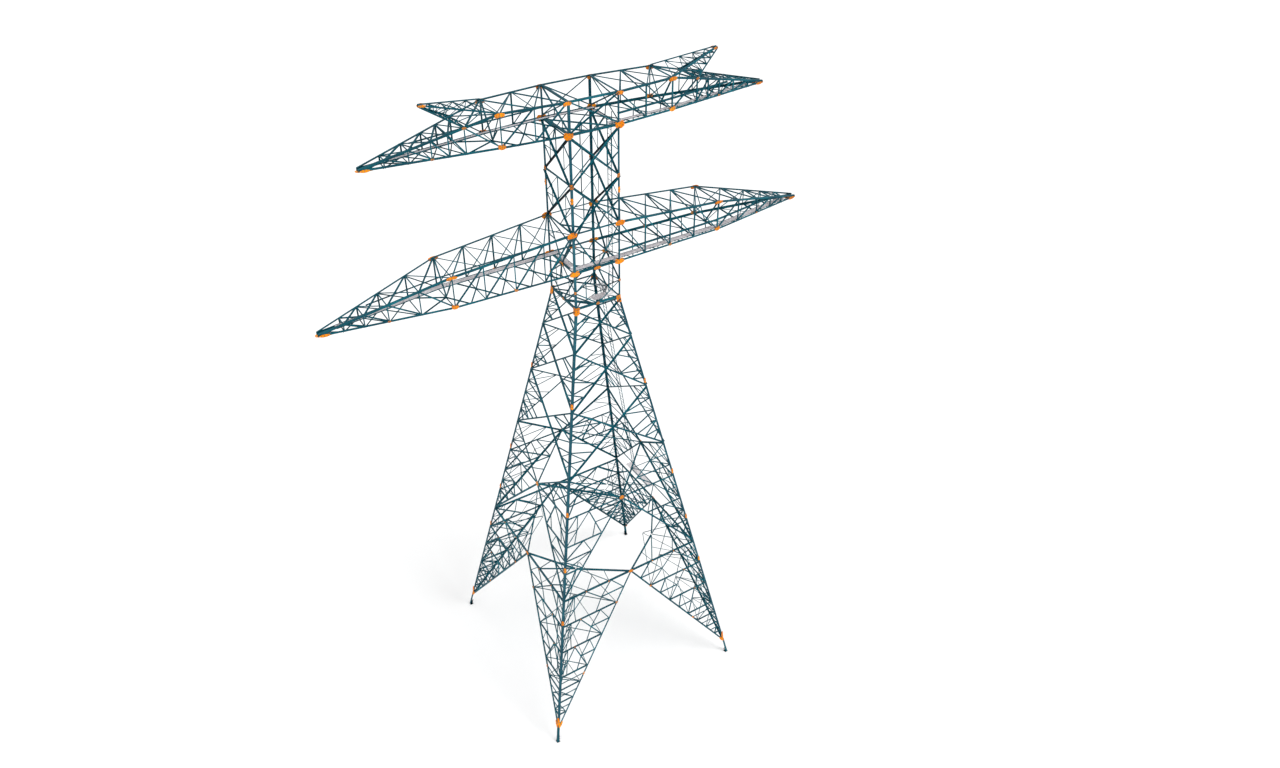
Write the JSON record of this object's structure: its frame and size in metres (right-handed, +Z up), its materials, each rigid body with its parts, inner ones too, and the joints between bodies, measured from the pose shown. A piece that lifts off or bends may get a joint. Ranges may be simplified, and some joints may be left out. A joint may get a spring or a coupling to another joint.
{
  "type": "half-size model of a lattice transmission pylon",
  "caption": "Half-size model of a tapering lattice transmission pylon on four spread legs, with a lower and an upper crossarm, earth-wire horns, walkways and ladders.",
  "frame": {"origin": "on the ground plane, midway between the four stub feet", "axes": "+Z up, +X along the crossarms towards the east tips, +Y along the line of the wires"},
  "size_m": [16.14, 7.5984, 22.38],
  "materials": {
    "leg_steel": "satin",
    "bracing_steel": "satin",
    "node_plates": "satin",
    "gratings": "matte",
    "ladders": "satin"
  },
  "bodies": {
    "root": {"arm_gussets": "node_plates", "arm_joint_gussets": "node_plates", "body_east": "bracing_steel", "body_ladder": "ladders", "body_north": "bracing_steel", "body_south": "bracing_steel", "body_west": "bracing_steel", "cage_east": "bracing_steel", "cage_ladder": "ladders", "cage_leg_north_east": "leg_steel", "cage_leg_north_west": "leg_steel", "cage_leg_south_east": "leg_steel", "cage_leg_south_west": "leg_steel", "cage_north": "bracing_steel", "cage_south": "bracing_steel", "cage_west": "bracing_steel", "cross_frame": "bracing_steel", "foot_gussets": "node_plates", "horn_east": "bracing_steel", "horn_west": "bracing_steel", "leg_inner_frames": "bracing_steel", "leg_north_east": "leg_steel", "leg_north_west": "leg_steel", "leg_south_east": "leg_steel", "leg_south_west": "leg_steel", "leg_splices": "node_plates", "lower_arm_east_bottom": "bracing_steel", "lower_arm_east_sides": "bracing_steel", "lower_arm_east_top": "bracing_steel", "lower_arm_frame": "bracing_steel", "lower_arm_tips": "node_plates", "lower_arm_top_frame": "bracing_steel", "lower_arm_west_bottom": "bracing_steel", "lower_arm_west_sides": "bracing_steel", "lower_arm_west_top": "bracing_steel", "lower_walkway": "gratings", "portal_east": "bracing_steel", "portal_frame": "bracing_steel", "portal_north": "bracing_steel", "portal_south": "bracing_steel", "portal_west": "bracing_steel", "rest_platform": "gratings", "side_gussets": "node_plates", "upper_arm_east_bottom": "bracing_steel", "upper_arm_east_sides": "bracing_steel", "upper_arm_east_top": "bracing_steel", "upper_arm_frame": "bracing_steel", "upper_arm_tips": "node_plates", "upper_arm_west_bottom": "bracing_steel", "upper_arm_west_sides": "bracing_steel", "upper_arm_west_top": "bracing_steel", "upper_walkway": "gratings", "waist_frame": "bracing_steel", "waist_gussets": "node_plates", "waist_platform": "gratings"}
  },
  "joints": []
}
